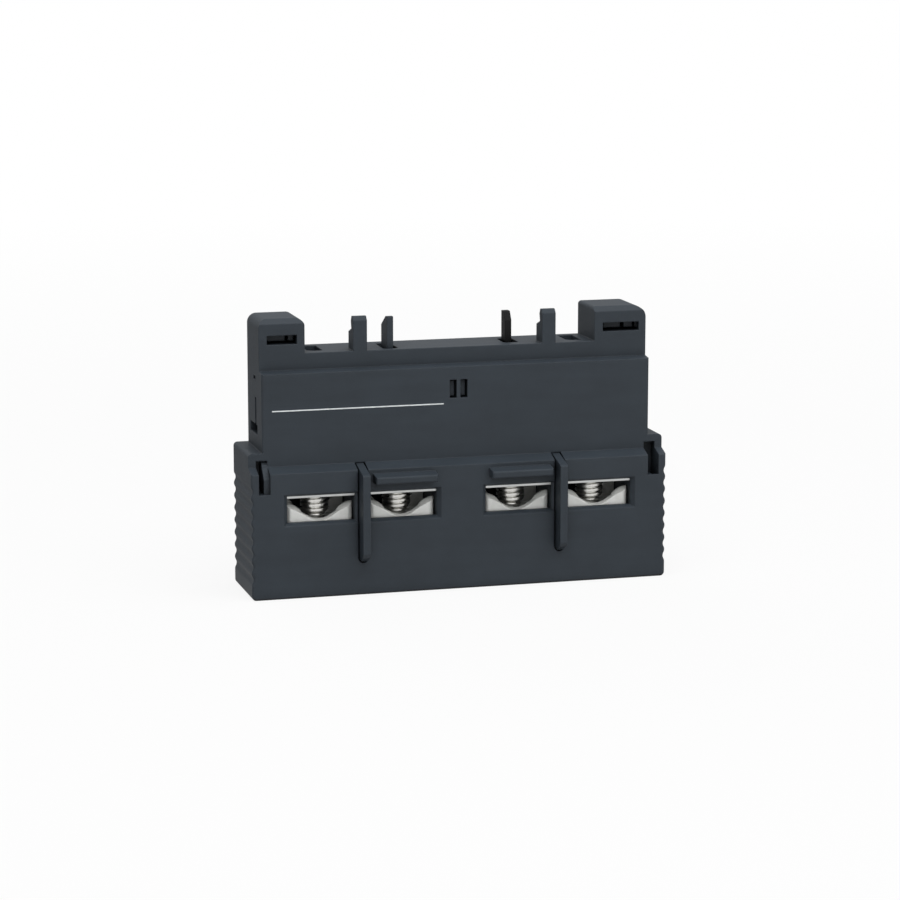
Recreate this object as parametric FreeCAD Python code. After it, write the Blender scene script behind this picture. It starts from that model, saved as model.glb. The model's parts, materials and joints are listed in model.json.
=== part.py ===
import FreeCAD, Part
import math
import os

# Auxiliary contact block with two switched poles and four screw terminals.
# Millimetres. X is the width, the front face looks towards -Y, +Z is up.
# The origin is the centre of the underside. Depths (d) are measured back from
# the front face of the grip.

V = FreeCAD.Vector

# Terminal chambers: two poles of two, side by side across the width
chamber_width = 7.1
chamber_web = 1.6
pole_gap = 5.3
side_margin = 3.8
chamber_head_gap = 0.21
chamber_foot_room = 2.05

# Grip: the wide lower part that stays outside and carries the terminals
back_step = 0.45
grip_bottom_radius = 0.45
grip_edge_bevel = 0.18
shoulder_over_ramp = 1.95
shoulder_radius = 0.4
ramp_over_roof = 0.7
ramp_rise = 0.52
scallop_pitch = 1.307
scallop_depth = 0.17
scallop_count = 8
scallop_first_z = 2.2

# Upper body: the narrower part that plugs into the switching device
shoulder_width = 1.5
body_edge_bevel = 0.18
label_setback = 1.46
neck_setback = 2.73
label_top_z = 23.16
label_top_rise = 0.16
ledge_z = 25.03
wall = 0.9

# Ears on the ledge
ear_height = 3.54
ear_left_width = 4.8
ear_left_outer_radius = 0.95
ear_left_inner_radius = 0.75
ear_right_width = 5.63
ear_right_outer_radius = 1.2
ear_right_inner_radius = 0.35
ear_bevel = 0.45
ear_bevel_depth = 0.9
ear_slot_rise = 0.97
ear_slot_height = 0.93
ear_slot_depth = 2.6
ear_slot_face = 0.85
ear_slot_clear = 0.26
ear_left_slot_side = 0.85
ear_left_slot_length = 3.15
ear_right_slot_side = 0.75
ear_right_slot_length = 3.98

# Blocks that hang in the ear slots: start and end from the outer end of the slot
ear_left_blocks = [(0.0, 2.05), (2.4, 2.95)]
ear_right_blocks = [(0.0, 0.2), (0.45, 1.4), (1.82, 3.65)]

# Notched tabs
tab_offset = 0.425
tab_width = 1.45
tab_foot_thickness = 2.12
tab_tip_thickness = 0.87
tab_foot_height = 1.77
tab_step_rise = 0.45
tab_barb = 0.2
tab_bevel = 0.4

# Barrier ribs and hoods on the front face
rib_width = 0.8
rib_proud = 1.6
rib_low_z = 3.5
rib_foot_rise = 0.65
rib_foot_corner = 0.4
rib_corner_depth = 0.25
rib_corner_drop = 0.15
rib_top_drop = 0.72
rib_top_under_ramp = 0.07
rib_groove_gap = 0.15
rib_groove_depth = 0.5
rib_groove_back = 0.3
hood_width = 6.6
hood_proud = 1.4
hood_over_window = 1.08
hood_height = 0.75
hood_root_rise = 0.18
hood_edge_radius = 0.25

# Terminals: windows, screws and their access from below
screw_d = 3.6
window_over_floor = 0.82
window_over_plate = 0.26
window_bevel = 0.42
window_bevel_rise = 0.26
window_bevel_depth = 0.45
driver_bore_radius = 2.7

# Screw M3, head down
thread_radius = 1.5
thread_end_gap = 0.05
neck_length = 1.45
neck_radius = 1.12
head_radius = 2.5
head_height = 1.7
recess_width = 0.75
recess_length = 3.2
recess_depth = 0.95
slot_share = 0.6
thread_gap = 0.03
head_gap = 0.02

# Clamp saddle: a channel whose two end walls have a wing-shaped upper edge.
# The front wall falls off along its top, so it has a lower front outline.
clamp_travel_up = 0.6
clamp_top_gap = 0.09
saddle_gap = 0.08
saddle_front_d = 1.0
saddle_thickness = 0.65
saddle_notch_height = 0.95
saddle_notch_half = 0.95
saddle_notch_rise = 0.22
saddle_flank_half = 1.75
saddle_flank_rise = 0.7
saddle_wing_half = 2.45
saddle_wing_rise = 1.42
saddle_tip_rise = 1.7
saddle_front_middle_drop = 0.2
saddle_front_notch_rise = 0.08
saddle_front_flank_rise = 0.6
saddle_front_wing_rise = 0.94
saddle_front_tip_rise = 1.4
saddle_corner_radius = 0.55
saddle_bend_radius = 0.5
saddle_hole_gap = 0.12

# Terminal strip: plate, collar, rising leg and fixed contact tip
strip_thickness = 0.7
strip_side_gap = 0.05
strip_groove = 0.2
plate_low_z = 10.39
plate_front_d = 0.6
collar_radius = 2.15
collar_height = 1.1
leg_gap = 0.1
leg_width = 2.6
leg_top_z = 19.6
tip_spacing = 6.4
tip_z = 18.0
fixed_tip_radius = 0.85
fixed_tip_height = 0.38

# Inner room
room_floor_thickness = 1.0
centre_wall_half = 1.6
cover_thickness = 1.0
rim = 1.05
passage_depth = 1.0
passage_gap = 0.15

# Rear cover
cover_gap = 0.08
cover_corner_radius = 0.5
arm_thickness = 0.6
arm_height = 0.8
arm_reach = 3.3
arm_barb = 0.6
arm_barb_length = 1.1
prong_x = 0.575
prong_width = 0.5
prong_height = 1.6
prong_recess = 0.5

# Openings in the side walls and the front
side_slot_low_z = 16.55
side_slot_high_z = 17.6
side_slot_lead = 0.4
side_slot_land = 0.15
side_slit_lead = 0.45
side_slit_width = 0.7
side_slit_top_z = 20.4
side_dot_z = 22.4
side_dot_width = 1.0
side_dot_height = 0.4
side_dot_depth = 0.4
side_dot_lead = 0.3
label_slot_width = 0.75
label_slot_low_z = 19.9
label_slot_high_z = 21.8
notch_side = 0.8
notch_width = 1.2
notch_low_z = 11.0
notch_high_z = 14.28
notch_depth = 2.6
tongue_width = 0.6
tongue_setback = 0.45
tongue_bend_z = 12.5
tongue_back = 2.0
notch_floor_depth = 1.4
notch_well_drop = 1.2

# Pockets in the ledge beside the ears
pocket_width = 1.65
pocket_left_gap = 0.55
pocket_right_gap = 0.97
pocket_front = 4.05
pocket_back = 7.5
pocket_radius = 0.8

# Moving contact carriers: one blade each, sliding along Y
travel_break = 0.9
contact_gap = 0.85
closed_gap = 0.02
blade_left_rise = 3.26
blade_left_offset = 3.86
blade_left_width = 0.66
blade_left_setback = 0.1
blade_left_depth = 2.45
blade_right_rise = 3.07
blade_right_offset = 4.08
blade_right_width = 0.7
blade_right_setback = 0.13
blade_right_depth = 1.35
slot_side_gap = 0.45
slot_end_gap = 0.35
slot_radius = 0.3
yoke_height = 1.4
yoke_gap = 0.18
foot_overhang = 0.9
foot_height = 0.9
carrier_half_width = 1.6
carrier_thickness = 1.0
carrier_gap = 0.12
web_gap = 0.07
stub_radius = 0.5
stub_head_radius = 0.72
stub_head_length = 0.35
stub_head_gap = 0.03

# Bridge, moving tips and springs
bridge_thickness = 0.4
bridge_height = 1.5
bridge_overhang = 0.85
bridge_hole_gap = 0.06
moving_tip_radius = 0.75
moving_tip_height = 0.32
spring_radius = 0.95
spring_wire = 0.26
spring_turns = 3.5
spring_steps_per_turn = 12
spring_seat_gap = 0.02
spring_boss_radius = 0.55
spring_boss_length = 0.75

# Derived positions across the width
screw_spacing = chamber_width + chamber_web
screw_offset = screw_spacing / 2.0
pole_x = pole_gap / 2.0 + chamber_width + chamber_web / 2.0
inner_screw_x = pole_x - screw_offset
half_grip = pole_gap / 2.0 + 2.0 * chamber_width + chamber_web + side_margin
half_body = half_grip - shoulder_width
ear_left_inner_x = -half_body + ear_left_width
ear_right_inner_x = half_body - ear_right_width
blade_left_x = -(pole_x - blade_left_offset)
blade_right_x = pole_x - blade_right_offset

# Derived positions in depth: the contacts stack up behind the neck wall
label_inner = label_setback + wall
neck_inner = neck_setback + wall
open_back_d = neck_inner + web_gap + carrier_thickness
fixed_tip_face = open_back_d + bridge_thickness + moving_tip_height + contact_gap
leg_front_d = fixed_tip_face + fixed_tip_height
leg_back_d = leg_front_d + strip_thickness
rear_plane = leg_back_d + leg_gap
body_back = rear_plane + cover_thickness
grip_depth = body_back + back_step
total_depth = grip_depth + rib_proud
front_y = rib_proud - total_depth / 2.0
travel_make = contact_gap - closed_gap
closed_back_d = open_back_d + travel_make
saddle_back_d = 2.0 * screw_d - saddle_front_d
side_slot_front = rear_plane - arm_reach - side_slot_lead
side_slot_back = rear_plane - side_slot_land
side_slit_front = side_slot_front + side_slit_lead
blade_left_front = open_back_d - carrier_thickness + blade_left_setback
blade_left_back = blade_left_front + blade_left_depth
blade_right_front = closed_back_d - blade_right_setback
blade_right_back = blade_right_front + blade_right_depth

# Derived heights: chambers, clamps and face follow the plate of the strips
plate_top_z = plate_low_z + strip_thickness
chamber_roof_z = plate_top_z + collar_height + chamber_head_gap
saddle_notch_z = plate_low_z - clamp_travel_up - clamp_top_gap - saddle_tip_rise
saddle_floor_z = saddle_notch_z - saddle_notch_height
chamber_floor_z = saddle_floor_z - chamber_foot_room
window_low_z = saddle_floor_z + window_over_floor
window_high_z = plate_low_z + window_over_plate
hood_low_z = window_high_z + hood_over_window
head_top_z = saddle_floor_z - head_gap
thread_low_z = saddle_floor_z + neck_length
thread_high_z = chamber_roof_z - clamp_travel_up - thread_end_gap
room_floor_z = chamber_roof_z + room_floor_thickness
ramp_low_z = chamber_roof_z + ramp_over_roof
ramp_high_z = ramp_low_z + ramp_rise
shoulder_z = ramp_low_z + shoulder_over_ramp
ear_top_z = ledge_z + ear_height
roof_z = ledge_z - wall
step_z = label_top_z - wall
room_half = half_body - wall
yoke_high_z = roof_z - yoke_gap
yoke_low_z = yoke_high_z - yoke_height


def screw_positions():
    out = []
    for side in (-1.0, 1.0):
        for k in (-1.0, 1.0):
            out.append(side * pole_x + k * screw_offset)
    return out


def box(x0, x1, d0, d1, z0, z1):
    return Part.makeBox(x1 - x0, d1 - d0, z1 - z0, V(x0, front_y + d0, z0))


def cyl_y(x, z, radius, d0, d1):
    return Part.makeCylinder(radius, d1 - d0, V(x, front_y + d0, z), V(0, 1, 0))


def cyl_z(x, d, radius, z0, z1):
    return Part.makeCylinder(radius, z1 - z0, V(x, front_y + d, z0), V(0, 0, 1))


def profile_x(points, x0, x1):
    # closed outline of (depth, z) points, swept along X
    pts = [V(x0, front_y + d, z) for d, z in points]
    wire = Part.makePolygon(pts + [pts[0]])
    return Part.Face(wire).extrude(V(x1 - x0, 0, 0))


def profile_y(points, d0, d1):
    # closed outline of (x, z) points, swept along Y
    pts = [V(x, front_y + d0, z) for x, z in points]
    wire = Part.makePolygon(pts + [pts[0]])
    return Part.Face(wire).extrude(V(0, d1 - d0, 0))


def profile_z(points, z0, z1):
    # closed outline of (x, depth) points, swept along Z
    pts = [V(x, front_y + d, z0) for x, d in points]
    wire = Part.makePolygon(pts + [pts[0]])
    return Part.Face(wire).extrude(V(0, 0, z1 - z0))


def fillet(shape, test, radius):
    edges = [e for e in shape.Edges if test(e)]
    if not edges:
        return shape
    done = shape.makeFillet(radius, edges)
    return done if done.isValid() else shape


def runs_along(edge, axis):
    a = edge.Vertexes[0].Point
    b = edge.Vertexes[-1].Point
    v = b - a
    if v.Length < 1e-6:
        return False
    return abs(abs(v.normalize().dot(axis)) - 1.0) < 1e-6


def box_centre(edge):
    b = edge.BoundBox
    return V((b.XMin + b.XMax) / 2.0, (b.YMin + b.YMax) / 2.0 - front_y, (b.ZMin + b.ZMax) / 2.0)


def grip_side(sign):
    # edges of one side of the grip outline, from the bottom to the shoulder
    h = half_grip
    r = grip_bottom_radius
    q = scallop_pitch / 4.0
    c = math.sqrt(0.5)

    def at(inset, z):
        return V(sign * (h - inset), front_y, z)

    edges = [Part.Arc(at(r, 0), at(r - r * c, r - r * c), at(0, r)).toShape()]
    # where the wave leaves a crest: crest and hollow arcs share one tangent
    half = scallop_depth / 2.0
    arc_r = (q * q + half * half) / (2.0 * half)
    mid = math.sqrt(arc_r * arc_r - q * q / 4.0)
    lift = arc_r - mid
    z = scallop_first_z - 2.0 * q
    edges.append(Part.makeLine(at(0, r), at(0, z)))
    for k in range(scallop_count):
        zc = scallop_first_z + k * scallop_pitch
        if k == 0:
            edges.append(Part.Arc(at(0, zc - 2 * q), at(lift, zc - 1.5 * q), at(half, zc - q)).toShape())
        edges.append(Part.Arc(at(half, zc - q), at(scallop_depth, zc), at(half, zc + q)).toShape())
        if k < scallop_count - 1:
            edges.append(Part.Arc(at(half, zc + q), at(0, zc + 2 * q), at(half, zc + 3 * q)).toShape())
        else:
            edges.append(Part.Arc(at(half, zc + q), at(lift, zc + 1.5 * q), at(0, zc + 2 * q)).toShape())
    top = scallop_first_z + (scallop_count - 1) * scallop_pitch + 2.0 * q
    s = shoulder_radius
    edges.append(Part.makeLine(at(0, top), at(0, shoulder_z - s)))
    corner = at(s - s * c, shoulder_z - s + s * c)
    edges.append(Part.Arc(at(0, shoulder_z - s), corner, at(s, shoulder_z)).toShape())
    return edges


def grip_block():
    edges = grip_side(1.0) + grip_side(-1.0)
    edges.append(Part.makeLine(V(-half_grip + grip_bottom_radius, front_y, 0),
                               V(half_grip - grip_bottom_radius, front_y, 0)))
    edges.append(Part.makeLine(V(-half_grip + shoulder_radius, front_y, shoulder_z),
                               V(half_grip - shoulder_radius, front_y, shoulder_z)))
    outline = Part.Wire(Part.__sortEdges__(edges))
    block = Part.Face(outline).extrude(V(0, grip_depth, 0))
    side = [(0, -1), (0, ramp_low_z), (label_setback, ramp_high_z),
            (label_setback, shoulder_z + 1), (grip_depth, shoulder_z + 1), (grip_depth, -1)]
    block = block.common(profile_x(side, -half_grip - 1, half_grip + 1))
    rim_edges = [e for e in block.Edges if grip_rim_edge(e)]
    return block.makeChamfer(grip_edge_bevel, rim_edges)


def grip_rim_edge(edge):
    # upright edges of the front face, scallops included
    c = box_centre(edge)
    on_side = abs(c.x) > half_grip - scallop_depth - 0.01
    flat = edge.BoundBox.YLength < 1e-6
    return on_side and flat and abs(c.y) < 1e-6 and c.z > grip_bottom_radius


def upper_body():
    side = [(label_setback, room_floor_z - 1), (label_setback, label_top_z),
            (neck_setback, label_top_z + label_top_rise), (neck_setback, ledge_z),
            (body_back, ledge_z), (body_back, room_floor_z - 1)]
    body = profile_x(side, -half_body, half_body)
    face_edges = [e for e in body.Edges
                  if runs_along(e, V(0, 0, 1)) and abs(box_centre(e).y - label_setback) < 1e-6]
    return body.makeChamfer(body_edge_bevel, face_edges)


def ear(inner_x, outer_x, ro, ri):
    # block with two rounded upper corners and a bevel along the top of its front
    sign = 1.0 if outer_x > 0 else -1.0
    c = math.sqrt(0.5)
    z = ear_top_z
    y = front_y + neck_setback
    low = ledge_z - 0.5

    def p(x, zz):
        return V(x, y, zz)

    a = p(inner_x, low)
    b = p(inner_x, z - ri)
    bm = p(inner_x + sign * (ri - ri * c), z - ri + ri * c)
    d = p(inner_x + sign * ri, z)
    e = p(outer_x - sign * ro, z)
    em = p(outer_x - sign * (ro - ro * c), z - ro + ro * c)
    f = p(outer_x, z - ro)
    g = p(outer_x, low)
    wire = Part.Wire([Part.makeLine(a, b), Part.Arc(b, bm, d).toShape(), Part.makeLine(d, e),
                      Part.Arc(e, em, f).toShape(), Part.makeLine(f, g), Part.makeLine(g, a)])
    solid = Part.Face(wire).extrude(V(0, body_back - neck_setback, 0))
    cut = profile_x([(neck_setback - 1, z + 1), (neck_setback - 1, z - ear_bevel),
                     (neck_setback, z - ear_bevel), (neck_setback + ear_bevel_depth, z),
                     (neck_setback + ear_bevel_depth, z + 1)], -half_grip, half_grip)
    return solid.cut(cut)


def tab(sign):
    n = neck_setback
    t = ear_top_z
    side = [(n, ledge_z - 0.5), (n, t - tab_bevel), (n + tab_bevel, t),
            (n + tab_tip_thickness - 0.1, t), (n + tab_tip_thickness + tab_barb, t - 0.55),
            (n + tab_tip_thickness, ledge_z + tab_foot_height + tab_step_rise),
            (n + tab_foot_thickness, ledge_z + tab_foot_height), (n + tab_foot_thickness, ledge_z - 0.5)]
    x = sign * (pole_x - tab_offset)
    return profile_x(side, x - tab_width / 2.0, x + tab_width / 2.0)


def round_foot(x, half, low, d0, d1, top):
    # upright bar with a round lower end, used to trim a rib and its groove
    bar = box(x - half, x + half, d0, d1, low + half, top)
    return cyl_y(x, low + half, half, d0, d1).fuse(bar)


def rib(sign):
    # barrier rib, rooted in the web between two chambers
    top = ramp_high_z - rib_top_under_ramp
    front_top = top - rib_top_drop - rib_corner_drop
    front = -rib_proud
    back = label_setback + rib_groove_back + 0.1
    side = [(back, rib_low_z), (0, rib_low_z), (front + rib_corner_depth, rib_low_z + rib_foot_rise),
            (front, rib_low_z + rib_foot_rise + rib_foot_corner), (front, front_top),
            (front + rib_corner_depth, front_top + rib_corner_drop), (label_setback, top), (back, top)]
    x = sign * pole_x
    half = rib_width / 2.0
    solid = profile_x(side, x - half, x + half)
    return solid.common(round_foot(x, half, rib_low_z, front - 1, back + 1, top + 1))


def rib_groove(sign):
    # narrow groove round the root of a rib, along the face and up the ramp
    x = sign * pole_x
    half = rib_width / 2.0 + rib_groove_gap
    low = rib_low_z - rib_groove_gap
    back = label_setback + rib_groove_back
    side = [(-0.1, low), (rib_groove_depth, low), (rib_groove_depth, ramp_low_z - rib_groove_gap),
            (back, ramp_high_z - rib_groove_depth), (back, ramp_high_z), (-0.1, ramp_high_z)]
    groove = profile_x(side, x - half, x + half)
    return groove.common(round_foot(x, half, low, -1, back + 1, ramp_high_z + 1))


def hood(sign):
    # small canopy over the inner window of a pole, its top falling to the front
    z0 = hood_low_z
    z1 = hood_low_z + hood_height
    z2 = z1 + hood_root_rise
    side = [(0.3, z0), (-hood_proud + 0.12, z0), (-hood_proud, z0 + 0.12),
            (-hood_proud, z1 - 0.12), (-hood_proud + 0.12, z1), (0, z2), (0.3, z2)]
    x = sign * inner_screw_x
    solid = profile_x(side, x - hood_width / 2.0, x + hood_width / 2.0)
    return fillet(solid, lambda e: runs_along(e, V(0, 0, 1)) and box_centre(e).y < -0.5, hood_edge_radius)


def window_cut(xc):
    # opening with a bevelled surround
    h = chamber_width / 2.0
    straight = box(xc - h, xc + h, -0.1, wall + 0.1, window_low_z, window_high_z)

    def ring(side, rise, d):
        left, right = xc - h - side, xc + h + side
        low, high = window_low_z - rise, window_high_z + rise
        y = front_y + d
        pts = [V(left, y, low), V(right, y, low), V(right, y, high), V(left, y, high)]
        return Part.makePolygon(pts + [pts[0]])

    outer = ring(window_bevel, window_bevel_rise, 0.0)
    inner = ring(0.0, 0.0, window_bevel_depth)
    return straight.fuse(Part.makeLoft([outer, inner], True, True))


def terminal_cuts():
    h = chamber_width / 2.0
    cuts = []
    for xc in screw_positions():
        cuts.append(box(xc - h, xc + h, wall, rear_plane + 0.2, chamber_floor_z, chamber_roof_z))
        cuts.append(window_cut(xc))
        cuts.append(cyl_z(xc, screw_d, driver_bore_radius, -1, chamber_floor_z + 0.5))
        # grooves that the terminal strip slides into from the back
        g = h + strip_groove
        cuts.append(box(xc - g, xc + g, plate_front_d - strip_side_gap, rear_plane + 0.2,
                        plate_low_z - strip_side_gap, plate_top_z + strip_side_gap))
    for side in (-1.0, 1.0):
        for k in (-1.0, 1.0):
            xt = side * pole_x + k * tip_spacing / 2.0
            half = leg_width / 2.0 + passage_gap
            cuts.append(box(xt - half, xt + half, rear_plane - passage_depth, rear_plane + 0.2,
                            chamber_roof_z - 0.5, room_floor_z + 0.5))
    # light hollow between the two poles
    m = pole_gap / 2.0 - wall
    cuts.append(box(-m, m, 2 * wall, rear_plane + 0.2, 2 * wall, chamber_roof_z))
    return cuts


def room_cuts():
    cuts = []
    for side in (-1.0, 1.0):
        x0, x1 = sorted((side * centre_wall_half, side * room_half))
        cuts.append(box(x0, x1, label_inner, rear_plane + 0.2, room_floor_z, step_z))
        cuts.append(box(x0, x1, neck_inner, rear_plane + 0.2, step_z - 0.1, roof_z))
    # seat of the rear cover
    g = half_grip - rim
    cuts.append(box(-g, g, rear_plane, grip_depth + 1, rim, shoulder_z - rim))
    cuts.append(box(-room_half, room_half, rear_plane, grip_depth + 1, rim, roof_z))
    return cuts


def notch_tongue(x):
    # tongue along one side of the notch that bends away to the back
    side = [(tongue_setback, notch_low_z - 0.1), (tongue_setback, tongue_bend_z),
            (tongue_back, notch_high_z + 0.1), (notch_depth + 0.1, notch_high_z + 0.1),
            (notch_depth + 0.1, notch_low_z - 0.1)]
    return profile_x(side, x - tongue_width, x + 0.1)


def front_cuts():
    cuts = []
    for sign in (-1.0, 1.0):
        x = sign * prong_x
        cuts.append(box(x - label_slot_width / 2.0, x + label_slot_width / 2.0, label_setback - 0.1,
                        rear_plane + 0.2, label_slot_low_z, label_slot_high_z))
        outer = half_grip - notch_side
        a, b = sorted((sign * (outer - notch_width), sign * outer))
        notch = box(a, b, -1, notch_depth, notch_low_z, notch_high_z)
        if sign < 0:
            notch = notch.cut(notch_tongue(b))
        else:
            # the floor ends early, and its outer half is open downwards
            middle = (a + b) / 2.0
            low = notch_low_z - notch_well_drop
            notch = notch.fuse([box(middle, b, tongue_setback, notch_depth, low, notch_high_z),
                                box(a, b, notch_floor_depth, notch_depth, low, notch_high_z)])
        cuts.append(notch)
        # side wall: slot, flex slit and blind dot
        s, t = sorted((sign * (room_half - 0.1), sign * (half_body + 0.1)))
        cuts.append(box(s, t, side_slot_front, side_slot_back, side_slot_low_z, side_slot_high_z))
        cuts.append(box(s, t, side_slit_front, side_slit_front + side_slit_width, side_slot_low_z,
                        side_slit_top_z))
        u, v = sorted((sign * (half_body - side_dot_depth), sign * (half_body + 0.1)))
        d = side_slit_front + side_dot_lead
        z = side_dot_z - side_dot_height / 2.0
        cuts.append(box(u, v, d, d + side_dot_width, z, z + side_dot_height))
    return cuts


def pocket_cut(x0):
    # opening in the ledge with one rounded corner
    hole = box(x0, x0 + pocket_width, pocket_front, pocket_back, roof_z - 0.5, ledge_z + 1)
    return fillet(hole, lambda e: runs_along(e, V(0, 0, 1)) and abs(box_centre(e).x - x0) < 0.01
                  and box_centre(e).y < pocket_front + 0.01, pocket_radius)


def blade_slot(x, width, d0, d1):
    half = width / 2.0 + slot_side_gap
    hole = box(x - half, x + half, d0, d1, roof_z - 0.5, ledge_z + 1)
    return fillet(hole, lambda e: runs_along(e, V(0, 0, 1)), slot_radius)


def ear_slot(outer_x, length, blocks):
    # deep slot in the face of an ear with blocks hanging down into it
    sign = 1.0 if outer_x > 0 else -1.0
    n = neck_setback
    z0 = ledge_z + ear_slot_rise
    z1 = z0 + ear_slot_height
    deep = n + ear_slot_depth

    def span(start, end, d0, d1, low, high):
        a, b = sorted((outer_x - sign * start, outer_x - sign * end))
        return box(a, b, d0, d1, low, high)

    slot = span(0, length, n - 0.1, deep, z0, z1)
    face = n + ear_slot_face
    hung = [span(start, end, face, deep + 1, z0 + ear_slot_clear, z1 + 1) for start, end in blocks]
    return slot.cut(hung)


def ledge_cuts():
    cuts = [pocket_cut(ear_left_inner_x + pocket_left_gap)]
    cuts.append(pocket_cut(ear_right_inner_x - pocket_right_gap - pocket_width))
    cuts.append(blade_slot(blade_left_x, blade_left_width, blade_left_front - slot_end_gap,
                           blade_left_back + travel_make + 0.2 * slot_end_gap))
    cuts.append(blade_slot(blade_right_x, blade_right_width, blade_right_front - travel_break - slot_end_gap,
                           blade_right_back + slot_end_gap))
    cuts.append(ear_slot(ear_left_slot_side - half_body, ear_left_slot_length, ear_left_blocks))
    cuts.append(ear_slot(half_body - ear_right_slot_side, ear_right_slot_length, ear_right_blocks))
    return cuts


def front_housing():
    solid = grip_block().fuse(upper_body())
    adds = [ear(ear_left_inner_x, -half_body, ear_left_outer_radius, ear_left_inner_radius),
            ear(ear_right_inner_x, half_body, ear_right_outer_radius, ear_right_inner_radius)]
    for sign in (-1.0, 1.0):
        adds.append(tab(sign))
        adds.append(rib(sign))
        adds.append(hood(sign))
    solid = solid.fuse(adds).removeSplitter()
    keep_ribs = rib(-1.0).fuse(rib(1.0))
    cuts = terminal_cuts() + room_cuts() + front_cuts() + ledge_cuts() + [rib_groove(-1.0), rib_groove(1.0)]
    first = cuts[0]
    tool = first.fuse(cuts[1:])
    # the barrier ribs stand in their grooves and over the bevels of the windows
    face_part = box(-half_grip, half_grip, -rib_proud - 1, label_setback + rib_groove_back, 0, shoulder_z)
    tool = tool.cut(keep_ribs.common(face_part))
    solid = solid.cut(tool)
    # boss inside the front wall that centres the right spring
    boss = cyl_y(pole_x, tip_z, spring_boss_radius, label_inner - 0.2, label_inner + spring_boss_length)
    return solid.fuse(boss).removeSplitter()


def rear_cover():
    g = half_grip - rim - cover_gap
    r = room_half - cover_gap
    c = cover_gap
    z_mid = shoulder_z - rim - c
    pts = [(-g, rim + c), (g, rim + c), (g, z_mid), (r, z_mid), (r, roof_z - c), (-r, roof_z - c),
           (-r, z_mid), (-g, z_mid)]
    plate = profile_y(pts, rear_plane, body_back)

    def outer_corner(e):
        if not runs_along(e, V(0, 1, 0)):
            return False
        p = box_centre(e)
        return not (abs(abs(p.x) - r) < 0.01 and abs(p.z - z_mid) < 0.01)

    plate = fillet(plate, outer_corner, cover_corner_radius)
    parts = []
    zc = (side_slot_low_z + side_slot_high_z) / 2.0
    for sign in (-1.0, 1.0):
        inner = r - arm_thickness
        x0, x1 = sorted((sign * inner, sign * r))
        d0 = rear_plane - arm_reach
        parts.append(box(x0, x1, d0, rear_plane + 0.2, zc - arm_height / 2.0, zc + arm_height / 2.0))
        d2 = d0 + arm_barb_length
        tip = sign * (r + arm_barb)
        pts = [(sign * (r - 0.1), d0), (sign * (r + 0.15), d0), (tip, d2 - 0.2 * arm_barb_length),
               (tip, d2), (sign * (r - 0.1), d2)]
        parts.append(profile_z(pts, zc - arm_height / 2.0, zc + arm_height / 2.0))
        x = sign * prong_x
        zp = (label_slot_low_z + label_slot_high_z) / 2.0
        parts.append(box(x - prong_width / 2.0, x + prong_width / 2.0, label_setback + prong_recess,
                         rear_plane + 0.2, zp - prong_height / 2.0, zp + prong_height / 2.0))
    # boss that centres the left spring
    parts.append(cyl_y(-pole_x, tip_z, spring_boss_radius, rear_plane - spring_boss_length, rear_plane + 0.2))
    return plate.fuse(parts).removeSplitter()


def blade_profile_left():
    # blade with a long bevel at the back of its top
    f, b, top = blade_left_front, blade_left_back, ledge_z + blade_left_rise
    return [(f, yoke_low_z), (f, top), (f + 0.6, top), (b, top - 1.1), (b, yoke_low_z)]


def blade_profile_right():
    # blade with a bevel at the front of its top
    f, b, top = blade_right_front, blade_right_back, ledge_z + blade_right_rise
    return [(f, yoke_low_z), (f, top - 0.9), (f + 0.55, top), (b, top), (b, yoke_low_z)]


def carrier(sign, blade_profile, blade_x, blade_width, back_d, travel_front):
    # blade, yoke under the ledge, and the web that holds the bridge
    blade = profile_x(blade_profile, blade_x - blade_width / 2.0, blade_x + blade_width / 2.0)
    blade_back = blade_profile[-1][0]
    px = sign * pole_x
    half = carrier_half_width
    web_front = back_d - carrier_thickness
    foot_z = room_floor_z + carrier_gap
    web_top = step_z - carrier_gap
    yoke_front = max(web_front, neck_inner + travel_front + carrier_gap)
    x0, x1 = sorted((sign * (pole_x + half), blade_x - sign * blade_width))
    web = box(px - half, px + half, web_front, back_d, foot_z, web_top)
    pieces = [box(x0, x1, yoke_front, blade_back, yoke_low_z, yoke_high_z)]
    pieces.append(box(px - half, px + half, web_front, blade_back, web_top - 0.5, web_top))
    pieces.append(box(px - half, px + half, yoke_front, blade_back, web_top - 0.5, yoke_low_z + 0.5))
    # pin with a head that holds the bridge against the web
    head_d = back_d + bridge_thickness + stub_head_gap
    pieces.append(cyl_y(px, tip_z, stub_radius, back_d - 0.3, head_d + stub_head_length))
    pieces.append(cyl_y(px, tip_z, stub_head_radius, head_d, head_d + stub_head_length))
    wide = half + foot_overhang
    pieces.append(box(px - wide, px + wide, web_front, back_d, foot_z, foot_z + foot_height))
    return web.fuse(pieces + [blade]).removeSplitter()


def carrier_left():
    return carrier(-1.0, blade_profile_left(), blade_left_x, blade_left_width, open_back_d, 0.0)


def carrier_right():
    return carrier(1.0, blade_profile_right(), blade_right_x, blade_right_width, closed_back_d, travel_break)


def bridge(sign, back_d):
    px = sign * pole_x
    half = tip_spacing / 2.0 + bridge_overhang
    strip = box(px - half, px + half, back_d, back_d + bridge_thickness, tip_z - bridge_height / 2.0,
                tip_z + bridge_height / 2.0)
    strip = fillet(strip, lambda e: runs_along(e, V(0, 1, 0)), 0.4)
    return strip.cut(cyl_y(px, tip_z, stub_radius + bridge_hole_gap, back_d - 1, back_d + 1))


def moving_tip(sign, k, back_d):
    x = sign * pole_x + k * tip_spacing / 2.0
    base = back_d + bridge_thickness
    return cyl_y(x, tip_z, moving_tip_radius, base, base + moving_tip_height)


def fixed_tip(sign, k):
    x = sign * pole_x + k * tip_spacing / 2.0
    return cyl_y(x, tip_z, fixed_tip_radius, fixed_tip_face, leg_front_d)


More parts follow.
